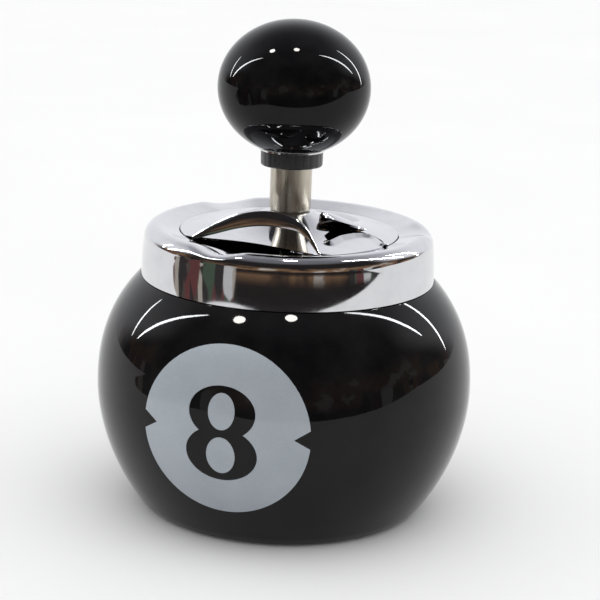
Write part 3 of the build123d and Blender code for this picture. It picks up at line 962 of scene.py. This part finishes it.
def make_hood():
    """The raised hood over the opening: high and round at its near end, narrowing to a point."""
    front = through([turned(*p) for p in HOOD_FRONT], 10)
    back = through([turned(*p) for p in HOOD_BACK], 10)
    rows = 14
    peak = 0.2  # where along the hood it is highest
    ridge = 0.3  # where across the hood its ridge runs
    sink = 0.1  # how far its edges sink into the plate
    verts = []
    for k, (near, far) in enumerate(zip(front, back)):
        t = k / (len(front) - 1)
        if t < peak:
            tall = 0.45 + 0.55 * math.sqrt(1 - (1 - t / peak) ** 2)
        else:
            tall = (1 - ((t - peak) / (1 - peak)) ** 1.25) ** 0.9
        for row in range(rows + 1):
            share = row / rows
            if share < ridge:
                rise = 0.78 + 0.22 * math.sin(0.5 * math.pi * share / ridge)
            else:
                rise = math.sqrt(max(0.0, 1 - ((share - ridge) / (1 - ridge)) ** 2))
            place = near.lerp(far, share)
            height = bell_height(place.x, place.y) - sink + HOOD_HEIGHT * tall * rise
            verts.append((place.x, place.y, height))
    faces = []
    for k in range(len(front) - 1):
        for row in range(rows):
            a = k * (rows + 1) + row
            b = a + rows + 1
            faces.append((a, a + 1, b + 1, b))
    obj = mesh_object("rotor_hood", verts, faces)
    face_out(obj, lambda place: Vector((0, 0, 1)))
    thicken(obj, PLATE_SHEET)
    finish_rotor(obj)


# Arch's upper edge: place along the chord and height, as shares of its half length and height
ARCH_TOP = [(-0.93, 0.02), (-0.60, 0.46), (-0.17, 0.85), (0.29, 1.0), (0.72, 0.79), (1.0, 0.04)]


def through(points, steps):
    """Smooth Catmull-Rom curve through some points."""
    out = []
    for k in range(len(points) - 1):
        a = Vector(points[max(k - 1, 0)])
        b = Vector(points[k])
        c = Vector(points[k + 1])
        d = Vector(points[min(k + 2, len(points) - 1)])
        for step in range(steps):
            t = step / steps
            out.append(
                0.5
                * (
                    2 * b
                    + (c - a) * t
                    + (2 * a - 5 * b + 4 * c - d) * t * t
                    + (3 * b - a - 3 * c + d) * t**3
                )
            )
    out.append(Vector(points[-1]))
    return out


def make_arch():
    """The raised strap on the plate's chord, a band that narrows into the plate at both ends."""
    half = math.sqrt(PLATE_RADIUS**2 - CHORD_DISTANCE**2) - ARCH_END_GAP
    out = Vector((math.cos(CHORD_ANGLE), math.sin(CHORD_ANGLE), 0))
    along = Vector((-math.sin(CHORD_ANGLE), math.cos(CHORD_ANGLE), 0))
    curve = through(ARCH_TOP, 16)
    ring = 10
    verts = []
    for k, point in enumerate(curve):
        u = point[0]
        share = max(0.0, 1 - abs(u) ** 2.6)
        band = ARCH_END_BAND + (ARCH_BAND - ARCH_END_BAND) * share
        top = PLATE_EDGE + ARCH_HEIGHT * point[1]
        middle = top - band / 2
        centre = out * (CHORD_DISTANCE - ARCH_INSET) + along * (half * u)
        for j in range(ring):
            angle = 2 * math.pi * j / ring
            side = math.copysign(abs(math.cos(angle)) ** 0.5, math.cos(angle))
            rise = math.copysign(abs(math.sin(angle)) ** 0.5, math.sin(angle))
            lean = -ARCH_LEAN * rise * band / 2
            place = centre + out * (side * ARCH_THICKNESS / 2 + lean)
            verts.append((place.x, place.y, middle + rise * band / 2))
    faces = []
    count = len(curve)
    for k in range(count - 1):
        for j in range(ring):
            i = (j + 1) % ring
            faces.append((k * ring + j, k * ring + i, (k + 1) * ring + i, (k + 1) * ring + j))
    faces.append(tuple(range(ring)))
    faces.append(tuple((count - 1) * ring + j for j in range(ring)))
    finish_rotor(mesh_object("rotor_arch", verts, faces))


# --- tube, collar and knob ----------------------------------------------------------------------


def make_tube():
    bore = TUBE_RADIUS - TUBE_WALL
    outline = eased(
        [
            (bore, TUBE_TOP),
            (bore, TUBE_BOTTOM),
            (TUBE_RADIUS, TUBE_BOTTOM),
            (TUBE_RADIUS, TUBE_TOP),
        ],
        {1: 0.2, 2: 0.48},
        8,
    )
    tube = lathe("tube_shell", outline, 160)
    sharpen(tube, 60)
    tube.data.materials.append(nickel())
    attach(tube, "plunger")
    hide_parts("push_tube")


def make_collar():
    bottom = node_bottom("collar")
    top = node_top("collar")
    outline = eased(
        [
            (TUBE_RADIUS, top),
            (TUBE_RADIUS, bottom),
            (COLLAR_RADIUS - 0.1, bottom),
            (COLLAR_RADIUS, top),
        ],
        {1: 0.2, 2: 0.5},
        6,
    )

    def flute(x, y, z):
        """Cut shallow flutes into the collar's outside."""
        radius = math.hypot(x, y)
        if radius < COLLAR_RADIUS - 0.8:
            return x, y, z
        angle = math.atan2(y, x)
        cut = FLUTE_DEPTH * (0.5 - 0.5 * math.cos(FLUTES * angle)) ** 4
        scale = (radius - cut) / radius
        return x * scale, y * scale, z

    piece = lathe("collar_ring", outline, 288, warp=flute)
    sharpen(piece, 60)
    piece.data.materials.append(moulded("collar_plastic", (0.006, 0.006, 0.007), 0.30))
    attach(piece, "plunger")
    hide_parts("collar")


def make_knob():
    steps = 96
    side = []
    low = -math.acos(KNOB_FLAT / KNOB_RADIUS)
    for k in range(steps + 1):
        angle = low + (0.5 * math.pi - low) * k / steps
        side.append(
            (
                max(0.0, KNOB_RADIUS * math.cos(angle)),
                KNOB_CENTRE + KNOB_HALF_HEIGHT * math.sin(angle),
            )
        )
    bottom = side[0][1]
    socket_radius = TUBE_RADIUS + 0.02
    socket_top = TUBE_TOP + 0.4
    outline = [
        (0, socket_top),
        (socket_radius, socket_top),
        (socket_radius, bottom),
        (KNOB_FLAT - 0.3, bottom),
    ] + side[1:]
    piece = lathe("knob_ball", outline, 256, closed=False)
    sharpen(piece, 50)
    piece.data.materials.append(knob_gloss())
    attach(piece, "plunger")
    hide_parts("knob")


# --- CAD nodes that keep their shape ------------------------------------------------------------


def paint(node, material):
    """Give a CAD node's slots a material."""
    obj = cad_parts[node]
    obj.data.materials.clear()
    obj.data.materials.append(material)


def paint_inner_pieces():
    zinc = plated("zinc_steel", (0.55, 0.56, 0.57), 0.34)
    brass = plated("brass", (0.72, 0.52, 0.22), 0.3)
    wire = plated("spring_steel", (0.42, 0.42, 0.43), 0.26)
    drawn = plated("spindle_steel", (0.48, 0.47, 0.46), 0.28)
    hub = plated("hub_nickel", (0.62, 0.59, 0.52), 0.22)
    plug = plated("tube_plug_steel", (0.5, 0.5, 0.5), 0.36)
    bright = plated("washer_steel", (0.78, 0.78, 0.79), 0.14)
    for node in ("stirrup", "spindle_nut", "spring_seat", "stop_clip", "spring_cap", "knob_stud"):
        paint(node, zinc)
    for node in ("drive_nut", "knob_insert"):
        paint(node, brass)
    for node in ("return_spring", "retaining_clip"):
        paint(node, wire)
    paint("spindle", drawn)
    paint("rotor_hub", hub)
    paint("tube_plug", plug)
    paint("knob_washer", bright)
    paint("tube_bush", moulded("bush_plastic", (0.72, 0.71, 0.66), 0.4))
    paint("lid_seat_ring", moulded("seat_rubber", (0.018, 0.018, 0.018), 0.6))
    paint("base_pad", felt())


# --- floor and light ----------------------------------------------------------------------------


# Metres, to the right of the object and away from the camera
FLOOR_SIZE = 6.0
TABLE_FRONT = 0.28
# Rounded left end of the table's top, from its front edge to where it runs on behind the object
TABLE_END = [
    (-0.12, -0.28),
    (-0.20, -0.26),
    (-0.25, -0.20),
    (-0.27, -0.10),
    (-0.32, 0.0),
    (-0.6, 0.06),
]


def floor_part(name, outline, material):
    """Level piece of floor with an outline given rightward and away from the camera."""
    right, forward, _ = photo_axes()
    corners = [tuple(right * x + forward * y) for x, y in outline]
    mesh = bpy.data.meshes.new(name)
    mesh.from_pydata(corners, [], [tuple(range(len(corners)))])
    part = new_object(name, mesh)
    part.data.materials.append(material)
    return part


def make_floor():
    """Pale floor in two pieces: the front one is hidden from reflections, the table's top isn't."""
    s = Shader("floor_paint")
    cloud = s.noise(6, detail=3.0)
    color = s.ramp(cloud, [(0.3, (0.90, 0.90, 0.905)), (0.7, (0.92, 0.92, 0.92))])
    paint = s.set(Base_Color=color, Roughness=0.7)
    far = FLOOR_SIZE
    end = [tuple(point) for point in through(TABLE_END, 8)]
    table = end[::-1] + [(far, -TABLE_FRONT), (far, far), (-far, far), (-far, TABLE_END[-1][1])]
    floor_part("floor", table, paint)
    front = [(-far, -far), (far, -far), (far, -TABLE_FRONT)] + end + [(-far, TABLE_END[-1][1])]
    floor_part("floor_front", front, paint).visible_glossy = False


LAMP_DISTANCE = 1.6
LAMP_AIM = Vector((0, 0, 0.08))  # the point on the lid that the lamps face
DISC_SIZE = 0.17
DISC_RADIANCE = 60
DISC_COLOR = (1.0, 0.97, 0.93)
STRIP_COLOR = (0.96, 0.98, 1.0)


def studio_point(direction):
    """Point at the lamps' distance, in a direction given level right, forward and up."""
    right, forward, up = photo_axes()
    along = (right * direction[0] + forward * direction[1] + up * direction[2]).normalized()
    return LAMP_AIM + along * LAMP_DISTANCE


def add_lamp(name, place, long_way, size, size_y, radiance, color):
    """Area light that faces the lid, with its long side along a direction."""
    data = bpy.data.lights.new(name, "AREA")
    data.shape = "ELLIPSE"
    data.size = size
    data.size_y = size_y
    data.energy = radiance * math.pi * size * size_y * math.pi / 4
    data.color = color
    back = (place - LAMP_AIM).normalized()
    across = (long_way - back * long_way.dot(back)).normalized()
    light = new_object(name, data)
    light.matrix_world = Matrix.Translation(place) @ Matrix(
        (across, back.cross(across), back)
    ).transposed().to_4x4()
    return light


def only_light(lamp, pieces):
    """Let a lamp light only some pieces, so that it leaves the floor even."""
    receivers = bpy.data.collections.new(lamp.name)
    for piece in pieces:
        receivers.objects.link(piece)
    lamp.light_linking.receiver_collection = receivers


def disc_lamp(name, direction, lit):
    place = studio_point(direction)
    long_way = Vector((0, 1, 0.01))
    size = DISC_SIZE
    only_light(add_lamp(name, place, long_way, size, size, DISC_RADIANCE, DISC_COLOR), lit)


def strip_lamp(name, start, end, width, radiance, lit):
    first = studio_point(start)
    last = studio_point(end)
    along = last - first
    middle = (first + last) / 2
    only_light(add_lamp(name, middle, along, along.length, width, radiance, STRIP_COLOR), lit)


def make_light():
    """Four round lamps and four strips that show as highlights, a soft sun and the world."""
    low = [bpy.data.objects[name] for name in ("bowl_body", "roundel_transfer")]
    pieces = [o for o in bpy.data.objects if o.type == "MESH" and not o.name.startswith("floor")]
    high = [o for o in pieces if o not in low]
    disc_lamp("lamp_left", (-0.42, -0.06, 0.90), high)
    disc_lamp("lamp_right", (0.02, -0.13, 0.98), high)
    disc_lamp("lamp_left_low", (-0.40, -0.33, 0.86), low)
    disc_lamp("lamp_right_low", (0.045, -0.36, 0.93), low)
    strip_lamp("strip_left", (-0.61, -0.14, 0.77), (-0.94, 0.30, 0.17), 0.045, 55, pieces)
    strip_lamp("strip_far_left", (-0.75, 0.40, 0.51), (-0.90, 0.40, 0.13), 0.03, 34, pieces)
    strip_lamp("strip_right", (0.44, -0.13, 0.87), (0.89, 0.25, 0.33), 0.045, 55, pieces)
    strip_lamp("strip_far_right", (0.60, 0.33, 0.72), (0.83, 0.48, 0.05), 0.035, 38, pieces)
    sun = bpy.data.lights.new("fill", "SUN")
    sun.energy = 0.4
    sun.angle = math.radians(70)
    fill = new_object("fill", sun)
    fill.rotation_euler = (math.radians(14), math.radians(10), 0)
    fill.visible_glossy = False
    make_world()
    bpy.context.scene.view_settings.view_transform = "Standard"


def make_world():
    """Even white light. Reflections show a room instead: a bright back, a dim brown front and
    coloured goods low at both sides."""
    world = bpy.data.worlds.new("studio")
    bpy.context.scene.world = world
    world.use_nodes = True
    s = Nodes(world.node_tree, "Generated")
    nodes = s.tree.nodes
    right, forward, up = photo_axes()

    def along(axis):
        dot = nodes.new("ShaderNodeVectorMath")
        dot.operation = "DOT_PRODUCT"
        dot.inputs[1].default_value = axis
        s.link(s.coords, dot.inputs[0])
        return dot.outputs["Value"]

    def step(source, low, high, to_low, to_high):
        made = s.remap(source, to_low, to_high, low, high)
        made.node.interpolation_type = "SMOOTHSTEP"
        return made

    def goods(room, height, across):
        """Dim coloured goods on shelves, seen low at both sides of the room."""
        cells = s.voronoi(1.0, (11.0, 11.0, 3.0), "Color")
        pick = nodes.new("ShaderNodeSeparateColor")
        s.link(cells, pick.inputs["Color"])
        ramp = nodes.new("ShaderNodeValToRGB")
        ramp.color_ramp.interpolation = "CONSTANT"
        stops = [
            (0.0, (0.04, 0.035, 0.035)),
            (0.30, (0.26, 0.15, 0.08)),
            (0.48, (0.09, 0.07, 0.06)),
            (0.62, (0.42, 0.38, 0.33)),
            (0.76, (0.13, 0.05, 0.05)),
            (0.82, (0.07, 0.10, 0.07)),
            (0.91, (0.55, 0.55, 0.55)),
        ]
        for element, (place, shade) in zip(ramp.color_ramp.elements, stops[:2]):
            element.position = place
            element.color = (*shade, 1)
        for place, shade in stops[2:]:
            ramp.color_ramp.elements.new(place).color = (*shade, 1)
        s.link(pick.outputs["Red"], ramp.inputs["Fac"])
        below = step(height, 0.06, 0.12, 1.0, 0.0)
        left = s.math("MULTIPLY", step(across, -0.66, -0.60, 1.0, 0.0), below)
        low = s.math("MULTIPLY", step(height, -0.12, -0.08, 0.0, 1.0), below)
        right_side = s.math("MULTIPLY", step(across, 0.72, 0.78, 0.0, 1.0), low)
        mask = s.math("MAXIMUM", left, right_side)
        return s.mix(mask, room, ramp.outputs["Color"])

    noise = s.noise(3.4, detail=3.0)
    height = along(up)
    patches = step(noise, 0.34, 0.56, 0.0, 1.0)
    shelf_top = step(height, 0.18, 0.42, 1.0, 0.0)
    shelf = s.math("MULTIPLY", step(height, -0.12, 0.0, 0.0, 1.0), shelf_top)
    band = s.math("MULTIPLY", shelf, patches)
    room = s.mix(band, (0.022, 0.019, 0.019), (0.23, 0.135, 0.075))
    glints = s.math("MULTIPLY", step(noise, 0.60, 0.66, 0.0, 0.7), shelf)
    room = s.mix(glints, room, (0.62, 0.60, 0.57))
    ceiling = step(height, 0.45, 0.95, 0.0, 1.0)
    bright = s.mix(ceiling, (0.95, 0.96, 1.0), (0.30, 0.30, 0.33))
    raised = s.math("MULTIPLY", step(height, 0.0, 0.5, 0.0, 1.0), 0.62)
    room = s.mix(step(height, 0.70, 0.90, 0.0, 1.0), room, (0.18, 0.18, 0.20))
    room = goods(room, height, along(right))
    backness = step(s.math("ADD", along(forward), raised), 0.42, 0.80, 0.0, 1.0)
    seen = s.mix(backness, room, bright)
    path = nodes.new("ShaderNodeLightPath")
    color = s.mix(path.outputs["Is Glossy Ray"], (1.0, 1.0, 1.0), seen)
    s.link(color, nodes["Background"].inputs["Color"])
    nodes["Background"].inputs["Strength"].default_value = 1.0


rotor_chrome = chrome("rotor_chrome", ripple=0.08)
make_bowl()
make_roundel()
make_lid()
make_plate()
make_arch()
make_hood()
make_tube()
make_collar()
make_knob()
paint_inner_pieces()
make_floor()
make_light()
